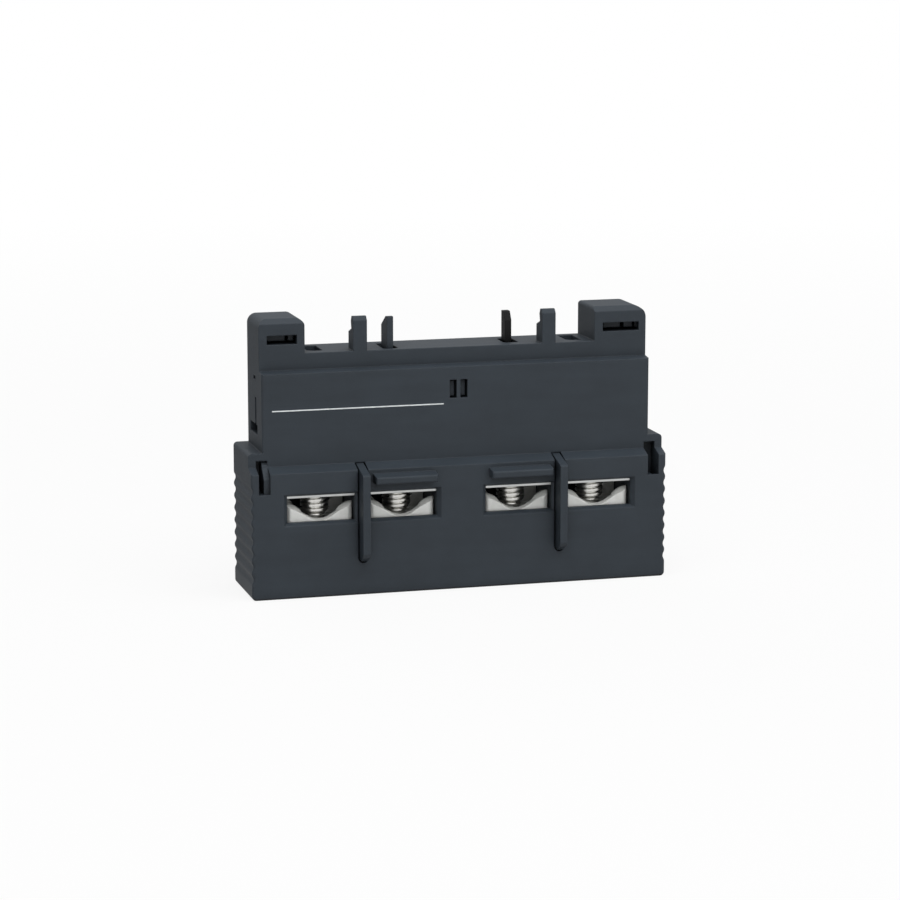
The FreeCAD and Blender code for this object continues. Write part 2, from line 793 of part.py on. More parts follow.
def terminal_strip(sign, k):
    # plate with a threaded collar, and a leg that rises to the contacts
    xc = sign * pole_x + k * screw_offset
    xt = sign * pole_x + k * tip_spacing / 2.0
    h = chamber_width / 2.0 + strip_groove - strip_side_gap
    plate = box(xc - h, xc + h, plate_front_d, leg_back_d, plate_low_z, plate_top_z)
    leg = box(xt - leg_width / 2.0, xt + leg_width / 2.0, leg_front_d, leg_back_d, plate_low_z, leg_top_z)
    collar = cyl_z(xc, screw_d, collar_radius, plate_low_z, plate_top_z + collar_height)
    hole = cyl_z(xc, screw_d, thread_radius + thread_gap, plate_low_z - 1, plate_top_z + collar_height + 1)
    strip = plate.fuse([leg, collar]).cut(hole).removeSplitter()
    strip = fillet(strip, lambda e: runs_along(e, V(1, 0, 0)) and abs(box_centre(e).y - leg_back_d) < 1e-6
                   and abs(box_centre(e).z - plate_low_z) < 1e-6, 0.8 * strip_thickness)
    corners = [e for e in strip.Edges
               if runs_along(e, V(0, 1, 0)) and abs(box_centre(e).z - leg_top_z) < 1e-6]
    return strip.makeChamfer(0.8 * strip_thickness, corners)


def wing_outline(xc, d, rises, low_z):
    # outline of an end wall: V-shaped notch in the middle, arched wings to the sides
    h = chamber_width / 2.0 - saddle_gap
    y = front_y + d
    middle, notch, flank, wing, tip = rises

    def p(x, rise):
        return V(xc + x, y, saddle_notch_z + rise)

    left, right = V(xc - h, y, low_z), V(xc + h, y, low_z)
    n, f, w = saddle_notch_half, saddle_flank_half, saddle_wing_half
    return Part.Wire([Part.makeLine(left, p(-h, tip)),
                      Part.Arc(p(-h, tip), p(-w, wing), p(-f, flank)).toShape(),
                      Part.makeLine(p(-f, flank), p(-n, notch)),
                      Part.Arc(p(-n, notch), p(0, middle), p(n, notch)).toShape(),
                      Part.makeLine(p(n, notch), p(f, flank)),
                      Part.Arc(p(f, flank), p(w, wing), p(h, tip)).toShape(),
                      Part.makeLine(p(h, tip), right),
                      Part.makeLine(right, left)])


def clamp_saddle(xc):
    # channel with a flat floor and two notched end walls
    h = chamber_width / 2.0 - saddle_gap
    t = saddle_thickness
    d0, d1 = saddle_front_d, saddle_back_d
    z0 = saddle_floor_z
    z1 = saddle_notch_z + saddle_tip_rise + 1
    front_rises = (-saddle_front_middle_drop, saddle_front_notch_rise, saddle_front_flank_rise,
                   saddle_front_wing_rise, saddle_front_tip_rise)
    rises = (0.0, saddle_notch_rise, saddle_flank_rise, saddle_wing_rise, saddle_tip_rise)
    front_outlines = [wing_outline(xc, d0, front_rises, z0), wing_outline(xc, d0 + t, rises, z0)]
    front = Part.makeLoft(front_outlines, True, True)
    back = Part.Face(wing_outline(xc, d1 - t, rises, z0)).extrude(V(0, t, 0))
    body = box(xc - h, xc + h, d0, d1, z0, z0 + t).fuse([front, back]).removeSplitter()
    # rounded in plan at its front corners and in side view at its bends
    hull = box(xc - h, xc + h, d0, d1, z0, z1)
    body = body.common(fillet(hull, lambda e: runs_along(e, V(0, 0, 1)) and box_centre(e).y < screw_d,
                              saddle_corner_radius))
    body = body.common(fillet(hull, lambda e: runs_along(e, V(1, 0, 0)) and abs(box_centre(e).z - z0) < 1e-6,
                              saddle_bend_radius))
    return body.cut(cyl_z(xc, screw_d, neck_radius + saddle_hole_gap, z0 - 1, z0 + 2 * t))


def terminal_screw(xc):
    z0 = head_top_z - head_height
    y = front_y + screw_d
    pts = [(0, z0), (head_radius, z0), (head_radius, head_top_z),
           (neck_radius, head_top_z), (neck_radius, thread_low_z - 0.2), (thread_radius, thread_low_z),
           (thread_radius, thread_high_z), (0, thread_high_z)]
    poly = [V(xc + r, y, z) for r, z in pts]
    face = Part.Face(Part.makePolygon(poly + [poly[0]]))
    screw = face.revolve(V(xc, y, 0), V(0, 0, 1), 360)
    w = recess_width / 2.0
    n = recess_length / 2.0
    reach = head_radius + 1
    slot = box(xc - reach, xc + reach, screw_d - w, screw_d + w, z0 - 1, z0 + slot_share * recess_depth)
    cross = box(xc - w, xc + w, screw_d - n, screw_d + n, z0 - 1, z0 + recess_depth)
    return screw.cut(slot.fuse(cross))


def coil_spring(x, d0, d1):
    # open coil drawn in straight steps, its wire with a six-sided section
    wire_r = spring_wire / 2.0
    start = front_y + d0 + spring_seat_gap + wire_r
    length = d1 - d0 - 2 * spring_seat_gap - spring_wire
    count = int(spring_turns * spring_steps_per_turn)
    rings = []
    for i in range(count + 1):
        turn = 2.0 * math.pi * spring_turns * i / count
        outward = V(math.cos(turn), 0, math.sin(turn))
        centre = V(x, start + length * i / count, tip_z) + outward * spring_radius
        corners = [math.pi * k / 3.0 for k in range(6)]
        pts = [centre + outward * (wire_r * math.cos(a)) + V(0, wire_r * math.sin(a), 0) for a in corners]
        rings.append(Part.makePolygon(pts + [pts[0]]))
    return Part.makeLoft(rings, True, True)


def spring_left():
    # between the bridge and the rear cover, pushes the carrier forward
    return coil_spring(-pole_x, open_back_d + bridge_thickness, rear_plane)


def spring_right():
    # between the front wall and the web, pushes the carrier back
    return coil_spring(pole_x, label_inner, closed_back_d - carrier_thickness)


def build():
    nodes = {
        "front_housing": front_housing(),
        "rear_cover": rear_cover(),
        "carrier_left": carrier_left(),
        "carrier_right": carrier_right(),
        "bridge_left": bridge(-1.0, open_back_d),
        "bridge_right": bridge(1.0, closed_back_d),
        "spring_left": spring_left(),
        "spring_right": spring_right(),
    }
    for i, xc in enumerate(screw_positions()):
        nodes["terminal_screw_%d" % (i + 1)] = terminal_screw(xc)
        nodes["clamp_saddle_%d" % (i + 1)] = clamp_saddle(xc)
    number = 1
    for sign in (-1.0, 1.0):
        back = open_back_d if sign < 0 else closed_back_d
        for k in (-1.0, 1.0):
            nodes["terminal_strip_%d" % number] = terminal_strip(sign, k)
            nodes["fixed_tip_%d" % number] = fixed_tip(sign, k)
            nodes["moving_tip_%d" % number] = moving_tip(sign, k, back)
            number += 1
    return nodes


def main():
    os.makedirs("parts", exist_ok=True)
    for name, shape in build().items():
        solid = shape.Solids[0] if len(shape.Solids) == 1 else shape
        solid.exportStep(os.path.join("parts", name + ".step"))
        print(name, len(shape.Solids), round(shape.Volume, 2), shape.isValid())


main()
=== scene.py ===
"""Auxiliary contact block: finishes, fine pieces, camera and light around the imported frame."""
import json
import logging
import math
from abc import ABC, abstractmethod
from dataclasses import dataclass, field
from enum import Enum
from typing import Sequence

import bmesh
import bpy
from mathutils import Matrix, Vector


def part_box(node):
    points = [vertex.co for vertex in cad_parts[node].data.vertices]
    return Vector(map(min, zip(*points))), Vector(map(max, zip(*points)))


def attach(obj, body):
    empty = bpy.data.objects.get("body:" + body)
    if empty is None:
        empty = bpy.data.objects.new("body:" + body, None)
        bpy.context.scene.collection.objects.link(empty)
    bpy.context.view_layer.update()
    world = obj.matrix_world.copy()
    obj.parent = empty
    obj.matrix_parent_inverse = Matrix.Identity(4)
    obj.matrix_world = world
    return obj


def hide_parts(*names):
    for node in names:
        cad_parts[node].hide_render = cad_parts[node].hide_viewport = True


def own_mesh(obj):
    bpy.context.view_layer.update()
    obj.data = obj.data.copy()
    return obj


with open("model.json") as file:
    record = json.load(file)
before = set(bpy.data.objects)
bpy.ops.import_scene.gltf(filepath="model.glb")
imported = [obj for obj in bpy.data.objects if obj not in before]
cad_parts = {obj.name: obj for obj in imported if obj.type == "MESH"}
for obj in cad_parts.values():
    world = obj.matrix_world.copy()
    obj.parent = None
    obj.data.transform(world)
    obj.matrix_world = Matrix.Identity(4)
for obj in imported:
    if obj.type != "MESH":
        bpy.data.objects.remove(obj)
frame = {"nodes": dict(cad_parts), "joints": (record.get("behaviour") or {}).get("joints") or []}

LOG = logging.getLogger("contact_block")
MM = 0.001
TERMINALS = range(1, 5)
HOUSING_BODY = "housing"
RAY_SAMPLES = 6
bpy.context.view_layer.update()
Colour = tuple[float, float, float]
Point = tuple[float, float, float]


class Slot(Enum):
    """Material slots of the record that new pieces take their finish from."""

    HOUSING = "housing_plastic"
    SCREW = "screw_steel"
    SPRING = "spring_steel"


class Operation(Enum):
    """Arithmetic that a Math node can do for a signal."""

    ADD = "ADD"
    SUBTRACT = "SUBTRACT"
    MULTIPLY = "MULTIPLY"
    DIVIDE = "DIVIDE"
    MINIMUM = "MINIMUM"
    MAXIMUM = "MAXIMUM"


def linear(code: str) -> Colour:
    """Turns a display colour into scene-linear values.

    Args:
        code: Six hexadecimal digits, red, green and blue.

    Returns:
        The three linear components.
    """
    parts = (int(code[i:i + 2], 16) / 255.0 for i in (0, 2, 4))
    red, green, blue = (p / 12.92 if p <= 0.04045 else ((p + 0.055) / 1.055) ** 2.4 for p in parts)
    return red, green, blue


def shade(colour: Colour, factor: float) -> Colour:
    """The colour, made darker or lighter by a factor."""
    red, green, blue = (c * factor for c in colour)
    return red, green, blue


def grey(level: float) -> Colour:
    """A neutral colour."""
    return level, level, level


def unit(value: float) -> float:
    """The value, kept between 0 and 1."""
    return min(max(value, 0.0), 1.0)


class Signal:
    """One output socket of a node graph, usable in arithmetic."""

    def __init__(self, graph: "Graph", socket: bpy.types.NodeSocket) -> None:
        """Keeps the socket and the graph that new Math nodes are added to."""
        self.graph = graph
        self.socket = socket

    def _join(self, operation: Operation, first: "Signal | float",
              second: "Signal | float") -> "Signal":
        """Result of a Math node that works on two values."""
        inputs = {0: first, 1: second}
        return self.graph.signal(
            self.graph.node("ShaderNodeMath", {"operation": operation.value}, inputs))

    def __add__(self, other: "Signal | float") -> "Signal":
        """Sum."""
        return self._join(Operation.ADD, self, other)

    def __radd__(self, other: float) -> "Signal":
        """Sum with a number on the left."""
        return self._join(Operation.ADD, other, self)

    def __sub__(self, other: "Signal | float") -> "Signal":
        """Difference."""
        return self._join(Operation.SUBTRACT, self, other)

    def __rsub__(self, other: float) -> "Signal":
        """Difference with a number on the left."""
        return self._join(Operation.SUBTRACT, other, self)

    def __mul__(self, other: "Signal | float") -> "Signal":
        """Product."""
        return self._join(Operation.MULTIPLY, self, other)

    def __rmul__(self, other: float) -> "Signal":
        """Product with a number on the left."""
        return self._join(Operation.MULTIPLY, other, self)

    def __truediv__(self, other: "Signal | float") -> "Signal":
        """Quotient."""
        return self._join(Operation.DIVIDE, self, other)

    def __rtruediv__(self, other: float) -> "Signal":
        """Quotient with a number on the left."""
        return self._join(Operation.DIVIDE, other, self)

    def clamp(self, low: float = 0.0, high: float = 1.0) -> "Signal":
        """The value, kept between two limits."""
        lifted = self._join(Operation.MAXIMUM, self, low)
        return self._join(Operation.MINIMUM, lifted, high)

    def length(self) -> "Signal":
        """Length of a vector."""
        node = self.graph.node("ShaderNodeVectorMath", {"operation": "LENGTH"}, {0: self})
        return self.graph.signal(node, "Value")

    def between(self, low: float, high: float) -> "Signal":
        """Runs from 0 to 1 while the value goes from low to high."""
        return ((self - low) / (high - low)).clamp()


class Graph:
    """A node tree under construction."""

    def __init__(self, tree: bpy.types.NodeTree) -> None:
        """Takes a tree and empties it."""
        self.tree = tree
        self.tree.nodes.clear()

    def node(self, kind: str, settings: dict[str, object],
             inputs: dict[int | str, object]) -> bpy.types.Node:
        """Adds a node.

        Args:
            kind: The node's type.
            settings: Its properties, set first.
            inputs: Numbers, colours or signals for its input sockets.

        Returns:
            The new node.
        """
        made = self.tree.nodes.new(kind)
        for key, value in settings.items():
            setattr(made, key, value)
        for key, value in inputs.items():
            if isinstance(value, Signal):
                self.tree.links.new(value.socket, made.inputs[key])
            else:
                made.inputs[key].default_value = value
        return made

    def signal(self, node: bpy.types.Node, output: int | str = 0) -> Signal:
        """Wraps an output socket of a node."""
        return Signal(self, node.outputs[output])

    def ray(self, kind: str) -> Signal:
        """Signal that is 1 for one kind of ray, named as on the Light Path node."""
        return self.signal(self.node("ShaderNodeLightPath", {}, {}), kind)

    def axis(self, place: Signal, name: str) -> Signal:
        """One coordinate of a position, named X, Y or Z."""
        return self.signal(self.node("ShaderNodeSeparateXYZ", {}, {0: place}), name)

    def mix(self, factor: Signal, first: Signal | Colour, second: Signal | Colour) -> Signal:
        """Blends two colours.

        Args:
            factor: 0 gives the first, 1 the second.
            first: Colour or signal.
            second: Colour or signal.

        Returns:
            The blended colour.
        """
        a, b = (c if isinstance(c, Signal) else (*c, 1.0) for c in (first, second))
        node = self.node("ShaderNodeMix", {"data_type": "RGBA"}, {0: factor, 6: a, 7: b})
        return self.signal(node, 2)


class Shader(Graph):
    """A material under construction, with one surface."""

    def __init__(self, name: str) -> None:
        """Starts an empty material.

        Args:
            name: Name of the material.
        """
        self.material = bpy.data.materials.new(name)
        self.material.use_nodes = True
        super().__init__(self.material.node_tree)

    def place(self) -> Signal:
        """Position on the piece in metres."""
        return self.signal(self.node("ShaderNodeTexCoord", {}, {}), "Object")

    def normal(self) -> Signal:
        """Normal of the mesh."""
        return self.signal(self.node("ShaderNodeNewGeometry", {}, {}), "Normal")

    def stretched(self, place: Signal, factors: Point) -> Signal:
        """Position multiplied by one factor for each axis."""
        inputs = {0: place, 1: factors}
        return self.signal(self.node("ShaderNodeVectorMath", {"operation": "MULTIPLY"}, inputs))

    def noise(self, place: Signal, cell: float, detail: float, rough: float) -> Signal:
        """Clouds around 0.5, one cell in metres wide, with finer octaves of a given strength."""
        inputs = {"Vector": place, "Scale": 1.0 / cell, "Detail": detail, "Roughness": rough}
        return self.signal(self.node("ShaderNodeTexNoise", {}, inputs), "Fac")

    def pits(self, place: Signal, cell: float) -> Signal:
        """Distance to the nearest of scattered points that lie about one cell apart, in cells."""
        inputs = {"Vector": place, "Scale": 1.0 / cell}
        return self.signal(self.node("ShaderNodeTexVoronoi", {"feature": "F1"}, inputs), "Distance")

    def soft_normal(self, radius: float) -> Signal:
        """Normal that rolls over sharp edges with a radius in metres."""
        settings = {"samples": RAY_SAMPLES}
        return self.signal(self.node("ShaderNodeBevel", settings, {"Radius": radius}))

    def edge(self, rounded: Signal, gain: float) -> Signal:
        """Mask that is 1 on sharp edges.

        Args:
            rounded: Normal from soft_normal.
            gain: How quickly the mask fills.

        Returns:
            The mask, from 0 to 1.
        """
        inputs = {0: rounded, 1: self.normal()}
        dot = self.node("ShaderNodeVectorMath", {"operation": "DOT_PRODUCT"}, inputs)
        return ((1.0 - self.signal(dot, "Value")) * gain).clamp()

    def openness(self, reach: float) -> Signal:
        """Share of open space within a reach in metres, 1 in the open and low in narrow slots."""
        settings, inputs = {"samples": RAY_SAMPLES}, {"Distance": reach}
        return self.signal(self.node("ShaderNodeAmbientOcclusion", settings, inputs), "AO")

    def relief(self, height: Signal, depth: float, normal: Signal) -> Signal:
        """Normal bumped by a height from 0 to 1, with the full depth in metres."""
        inputs = {"Strength": 1.0, "Distance": depth, "Height": height, "Normal": normal}
        return self.signal(self.node("ShaderNodeBump", {}, inputs))

    def close(self, surface: bpy.types.Node) -> bpy.types.Material:
        """Joins a surface node to the output and gives the finished material."""
        self.node("ShaderNodeOutputMaterial", {}, {"Surface": self.signal(surface)})
        return self.material

    def surface(self, inputs: dict[int | str, object]) -> bpy.types.Material:
        """Closes the material with a Principled surface of the given inputs."""
        return self.close(self.node("ShaderNodeBsdfPrincipled", {}, inputs))


@dataclass(frozen=True)
class MouldedPlastic:
    """Glass-filled plastic out of a spark-eroded mould."""

    name: str
    colour: Colour
    # painted highlight colour that sharp edges are blended towards
    edge_highlight_colour: Colour
    roughness: float = 0.5
    shine: float = 0.25
    grain: float = 0.11 * MM
    grain_depth: float = 0.006 * MM
    grains_per_pit: float = 2.2
    cloud_size: float = 4.0 * MM
    flow_size: float = 1.6 * MM
    flow_stretch: Point = (0.25, 1.0, 1.6)
    mottling: float = 0.1
    edge_radius: float = 0.18 * MM
    edge_gain: float = 3.2
    edge_highlight_share: float = 0.55
    cloud_gloss: float = 0.12
    grain_gloss: float = 0.16
    edge_gloss: float = 0.06
    # painted shade in narrow slots: reach of the occlusion test and how dark the shade is
    slot_shade_reach: float = 1.6 * MM
    slot_shade_tone: float = 0.35

    def build(self) -> bpy.types.Material:
        """Makes the material.

        Returns:
            Fine grain, faint flow marks, slightly polished edges with a painted highlight, and
            painted shade in narrow slots.
        """
        shader = Shader(self.name)
        place = shader.place()
        fine = shader.noise(place, self.grain, 3.0, 0.6)
        pit = shader.pits(place, self.grains_per_pit * self.grain)
        cloud = shader.noise(place, self.cloud_size, 3.0, 0.55)
        flow = shader.noise(shader.stretched(place, self.flow_stretch), self.flow_size, 2.0, 0.5)
        rolled = shader.soft_normal(self.edge_radius)
        edge = shader.edge(rolled, self.edge_gain)
        dark = shade(self.colour, 1.0 - self.mottling)
        light = shade(self.colour, 1.0 + self.mottling)
        tone = (0.5 * cloud + 0.3 * flow + 0.2 * fine).between(0.35, 0.65)
        # painted highlight: sharp edges are blended towards a lighter colour
        colour = shader.mix(edge * self.edge_highlight_share, shader.mix(tone, dark, light), self.edge_highlight_colour)
        # painted shade: narrow slots, found by ambient occlusion, are blended towards a darker
        # colour
        slot_shade_mask = shader.openness(self.slot_shade_reach).between(0.2, 0.7)
        colour = shader.mix(slot_shade_mask, shade(self.colour, self.slot_shade_tone), colour)
        gloss = self.roughness + self.cloud_gloss * (cloud - 0.5) + self.grain_gloss * (fine - 0.5)
        gloss = gloss - self.edge_gloss * edge
        height = 0.65 * fine + 0.35 * pit
        return shader.surface({
            "Base Color": colour,
            "Roughness": gloss.clamp(0.2, 0.9),
            "Specular IOR Level": self.shine,
            "Normal": shader.relief(height, self.grain_depth, rolled),
        })


@dataclass(frozen=True)
class PlatedMetal:
    """Bright galvanised metal with drawing lines and handling marks."""

    name: str
    colour: Colour
    stain: Colour
    roughness: float = 0.24
    line: float = 0.03 * MM
    line_stretch: Point = (0.06, 1.0, 1.0)
    cloud_size: float = 0.9 * MM
    crystal_size: float = 0.16 * MM
    stain_share: float = 0.55
    gloss_swing: float = 0.14
    relief_depth: float = 0.0016 * MM
    edge_radius: float = 0.05 * MM
    metal: float = 1.0

    def build(self) -> bpy.types.Material:
        """Makes the material.

        Returns:
            Metal whose gloss and tone vary with fine lines and clouds.
        """
        shader = Shader(self.name)
        place = shader.place()
        lines = shader.noise(shader.stretched(place, self.line_stretch), self.line, 2.0, 0.6)
        cloud = shader.noise(place, self.cloud_size, 4.0, 0.6)
        crystal = shader.pits(place, self.crystal_size)
        rolled = shader.soft_normal(self.edge_radius)
        marks = cloud.between(0.42, 0.72) * self.stain_share
        gloss = self.roughness + self.gloss_swing * (cloud - 0.5) + self.gloss_swing * (lines - 0.5)
        height = 0.7 * lines + 0.3 * crystal
        return shader.surface({
            "Base Color": shader.mix(marks, self.colour, self.stain),
            "Metallic": self.metal,
            "Roughness": gloss.clamp(0.08, 0.7),
            "Normal": shader.relief(height, self.relief_depth, rolled),
        })


@dataclass(frozen=True)
class PadInk:
    """Pale ink printed on the plastic."""

    name: str
    colour: Colour
    roughness: float = 0.55
    grain: float = 0.12 * MM
    grain_depth: float = 0.002 * MM
    thin_tone: float = 0.8
    gloss_swing: float = 0.2

    def build(self) -> bpy.types.Material:
        """Makes the material.

        Returns:
            Ink with a faintly uneven film.
        """
        shader = Shader(self.name)
        film = shader.noise(shader.place(), self.grain, 3.0, 0.6)
        thin = shade(self.colour, self.thin_tone)
        return shader.surface({
            "Base Color": shader.mix(film.between(0.3, 0.6), thin, self.colour),
            "Roughness": (self.roughness + self.gloss_swing * (film - 0.5)).clamp(0.3, 0.8),
            "Normal": shader.relief(film, self.grain_depth, shader.normal()),
        })


Finish = MouldedPlastic | PlatedMetal | PadInk


@dataclass(frozen=True)
class Finishes:
    """The finishes of the block, one field for each kind of surface."""

    # the third colour of each plastic is the painted highlight of its sharp edges
    housing: MouldedPlastic = MouldedPlastic("housing_plastic", linear("2c3238"), linear("3a4047"))
    black: MouldedPlastic = MouldedPlastic(
        "carrier_plastic", linear("0d0d0e"), linear("1d1d1e"), roughness=0.45, shine=0.2)
    clamp: PlatedMetal = PlatedMetal(
        "plated_steel", linear("d6d7d4"), linear("c6c7c3"), roughness=0.38,
        edge_radius=0.2 * MM, metal=0.3)
    screw: PlatedMetal = PlatedMetal(
        "screw_steel", linear("e4e3df"), linear("cfcec9"), roughness=0.3, line=0.04 * MM,
        line_stretch=(1.0, 1.0, 0.2), edge_radius=0.012 * MM)
    strip: PlatedMetal = PlatedMetal(
        "plated_strip", linear("d1d3d2"), linear("c2c4c2"), roughness=0.44, edge_radius=0.12 * MM)
    brass: PlatedMetal = PlatedMetal(
        "contact_brass", linear("d8b878"), linear("a9854c"), roughness=0.3)
    silver: PlatedMetal = PlatedMetal(
        "contact_silver", linear("e2e0da"), linear("b8b4aa"), roughness=0.26, line=0.05 * MM,
        line_stretch=(1.0, 1.0, 1.0))
    wire: PlatedMetal = PlatedMetal(
        "spring_steel", linear("b9b9b6"), linear("84837f"), roughness=0.28,
        line_stretch=(1.0, 1.0, 1.0))
    ink: PadInk = PadInk("print_ink", linear("d5dadb"))


class Paintbox:
    """Builds each finish once and gives it to pieces."""

    def __init__(self, finishes: Finishes) -> None:
        """Keeps the finishes to draw on, with no material made yet."""
        self.finishes = finishes
        self.made: dict[str, bpy.types.Material] = {}

    def coat(self, piece: bpy.types.Object, finish: Finish) -> None:
        """Gives a piece its finish.

        Args:
            piece: The mesh object.
            finish: The finish to put on it.
        """
        if finish.name not in self.made:
            self.made[finish.name] = finish.build()
        material = self.made[finish.name]
        if not piece.material_slots:
            piece.data.materials.append(material)
        for slot in piece.material_slots:
            slot.material = material


def mesh_piece(name: str, points: Sequence[Point], faces: Sequence[Sequence[int]],
               smooth: bool = True) -> bpy.types.Object:
    """Makes a mesh object in the scene.

    Args:
        name: Name of the piece.
        points: Vertices in metres.
        faces: Vertex numbers of each face.
        smooth: Whether faces are shaded smooth.

    Returns:
        The new object.
    """
    mesh = bpy.data.meshes.new(name)
    mesh.from_pydata(points, [], faces)
    mesh.validate()
    work = bmesh.new()
    work.from_mesh(mesh)
    bmesh.ops.recalc_face_normals(work, faces=work.faces)
    work.to_mesh(mesh)
    work.free()
    for polygon in mesh.polygons:
        polygon.use_smooth = smooth
    piece = bpy.data.objects.new(name, mesh)
    bpy.context.scene.collection.objects.link(piece)
    return piece


def box_piece(name: str, low: Point, high: Point) -> bpy.types.Object:
    """Makes a plain block.

    Args:
        name: Name of the object.
        low: Lowest corner.
        high: Highest corner.

    Returns:
        The block.
    """
    points = [(x, y, z) for x in (low[0], high[0])
              for y in (low[1], high[1]) for z in (low[2], high[2])]
    faces = [[0, 1, 3, 2], [4, 6, 7, 5], [0, 4, 5, 1], [2, 3, 7, 6], [0, 2, 6, 4], [1, 5, 7, 3]]
    return mesh_piece(name, points, faces, smooth=False)


def tube_faces(rows: int, columns: int) -> list[list[int]]:
    """Faces of a tube made of rings of vertices, closed at both ends.

    Args:
        rows: Number of rings.
        columns: Vertices in each ring.

    Returns:
        Lists of vertex numbers.
    """
    faces = []
    for row in range(rows - 1):
        low, high = row * columns, (row + 1) * columns
        for column in range(columns):
            after = (column + 1) % columns
            faces.append([low + column, low + after, high + after, high + column])
    faces.append(list(range(columns)))
    faces.append(list(range((rows - 1) * columns, rows * columns)))
    return faces


def cut_out(piece: bpy.types.Object, cutter: bpy.types.Object) -> None:
    """Cuts one piece's volume out of another and removes the cutter.

    Args:
        piece: The object that is cut.
        cutter: The object whose volume goes.
    """
    modifier = piece.modifiers.new("recess", "BOOLEAN")
    modifier.operation = "DIFFERENCE"
    modifier.solver = "EXACT"
    modifier.object = cutter
    bpy.context.view_layer.update()
    graph = bpy.context.evaluated_depsgraph_get()
    mesh = bpy.data.meshes.new_from_object(piece.evaluated_get(graph))
    piece.modifiers.clear()
    piece.data = mesh
    bpy.data.objects.remove(cutter)


@dataclass
class TerminalScrew:
    """M3 screw with its head below, a rolled thread above and a combined recess."""

    number: int
    pitch: float = 0.5 * MM
    crest_radius: float = 1.47 * MM
    root_radius: float = 1.15 * MM
    crest_share: float = 0.5
    flank_share: float = 0.3
    neck_radius: float = 0.85 * MM
    collar_radius: float = 1.12 * MM
    collar_height: float = 0.42 * MM
    collar_rows: int = 9
    thread_start: float = 8.35 * MM
    runout: float = 0.12 * MM
    tip_chamfer: float = 0.4 * MM
    tip_slope: float = 0.9
    head_height: float = 1.7 * MM
    head_overlap: float = 0.1 * MM
    head_bevel: float = 0.3 * MM
    rim_bevel: float = 0.1 * MM
    rim_roll: float = 0.03 * MM
    recess_width: float = 0.75 * MM
    recess_length: float = 3.2 * MM
    recess_depth: float = 0.95 * MM
    slot_depth_share: float = 0.6
    cutter_excess: float = 1 * MM
    sharp_degrees: float = 32.0
    columns: int = 64
    rows_per_pitch: int = 16

    @property
    def node(self) -> str:
        """Name of the CAD node that the screw stands for."""
        return "terminal_screw_%d" % self.number

    def _span(self) -> tuple[Vector, Vector, Vector]:
        """Lowest corner, highest corner and centre of the CAD node."""
        low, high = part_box(self.node)
        return low, high, (low + high) / 2

    def _thread_radius(self, phase: float) -> float:
        """Radius of the thread at a share of the pitch.

        Args:
            phase: 0 at the middle of a crest, 1 at the next.

        Returns:
            The radius in metres.
        """
        share = abs(phase - round(phase)) * 2.0
        flank = unit((share - self.crest_share) / self.flank_share)
        eased = flank * flank * (3.0 - 2.0 * flank)
        return self.crest_radius + (self.root_radius - self.crest_radius) * eased

    def _shank(self) -> tuple[list[Point], list[list[int]]]:
        """Neck and thread as one closed grid.

        Returns:
            Vertices and faces.
        """
        low, high, centre = self._span()
        start = self.thread_start
        heights = [low.z + self.head_height - self.head_overlap, start - 1.5 * self.collar_height]
        heights += [start - self.collar_height * (1.0 - k / self.collar_rows)
                    for k in range(self.collar_rows)]
        count = round((high.z - start) * self.rows_per_pitch / self.pitch)
        heights += [start + k * (high.z - start) / count for k in range(count + 1)]
        points = []
        for z in heights:
            rise = unit((z - start) / self.runout)
            bulge = max(0.0, 1.0 - (2.0 * (start - z) / self.collar_height - 1.0) ** 2) ** 0.5
            neck = self.neck_radius + (self.collar_radius - self.neck_radius) * bulge
            chamfer = max(0.0, z - (high.z - self.tip_chamfer)) * self.tip_slope
            for column in range(self.columns):
                angle = 2.0 * math.pi * column / self.columns
                thread = self._thread_radius((z - start) / self.pitch - column / self.columns)
                radius = min(neck + (thread - neck) * rise, self.crest_radius - chamfer)
                points.append((centre.x + radius * math.cos(angle),
                               centre.y + radius * math.sin(angle), z))
        return points, tube_faces(len(heights), self.columns)

    def _head(self) -> bpy.types.Object:
        """Head with its recess cut out.

        Returns:
            The head as an object.
        """
        low, high, centre = self._span()
        radius = (high.x - low.x) / 2
        base, top = low.z, low.z + self.head_height
        bevel, rim, roll = self.head_bevel, self.rim_bevel, self.rim_roll
        # radius and height of each ring, from the rounded lower edge to the rim below the neck
        profile = [(radius - bevel, base), (radius - 0.42 * bevel, base + 0.12 * bevel),
                   (radius - 0.12 * bevel, base + 0.42 * bevel), (radius, base + bevel),
                   (radius, top - rim), (radius - roll, top - roll), (radius - rim, top)]
        angles = [2 * math.pi * c / self.columns for c in range(self.columns)]
        points = [(centre.x + r * math.cos(a), centre.y + r * math.sin(a), z)
                  for r, z in profile for a in angles]
        faces = tube_faces(len(profile), self.columns)
        head = mesh_piece("screw_head_%d" % self.number, points, faces)
        half = self.recess_width / 2
        slot = (radius + self.cutter_excess, half, self.slot_depth_share * self.recess_depth)
        cross = (half, self.recess_length / 2, self.recess_depth)
        for reach_x, reach_y, depth in (slot, cross):
            cut_out(head, box_piece(
                "recess",
                (centre.x - reach_x, centre.y - reach_y, base - self.cutter_excess),
                (centre.x + reach_x, centre.y + reach_y, base + depth)))
        return head

    def build(self, paint: Paintbox) -> bpy.types.Object:
        """Makes the screw in place of its CAD node.

        Args:
            paint: Where the finish comes from.

        Returns:
            The finished piece.
        """
        points, faces = self._shank()
        screw = mesh_piece("screw_%d_threaded" % self.number, points, faces)
        head = self._head()
        work = bmesh.new()
        work.from_mesh(screw.data)
        work.from_mesh(head.data)
        work.to_mesh(screw.data)
        work.free()
        bpy.data.objects.remove(head)
        for polygon in screw.data.polygons:
            polygon.use_smooth = True
        screw.data.set_sharp_from_angle(angle=math.radians(self.sharp_degrees))
        paint.coat(screw, paint.finishes.screw)
        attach(screw, "screw_%d" % self.number)
        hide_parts(self.node)
        return screw


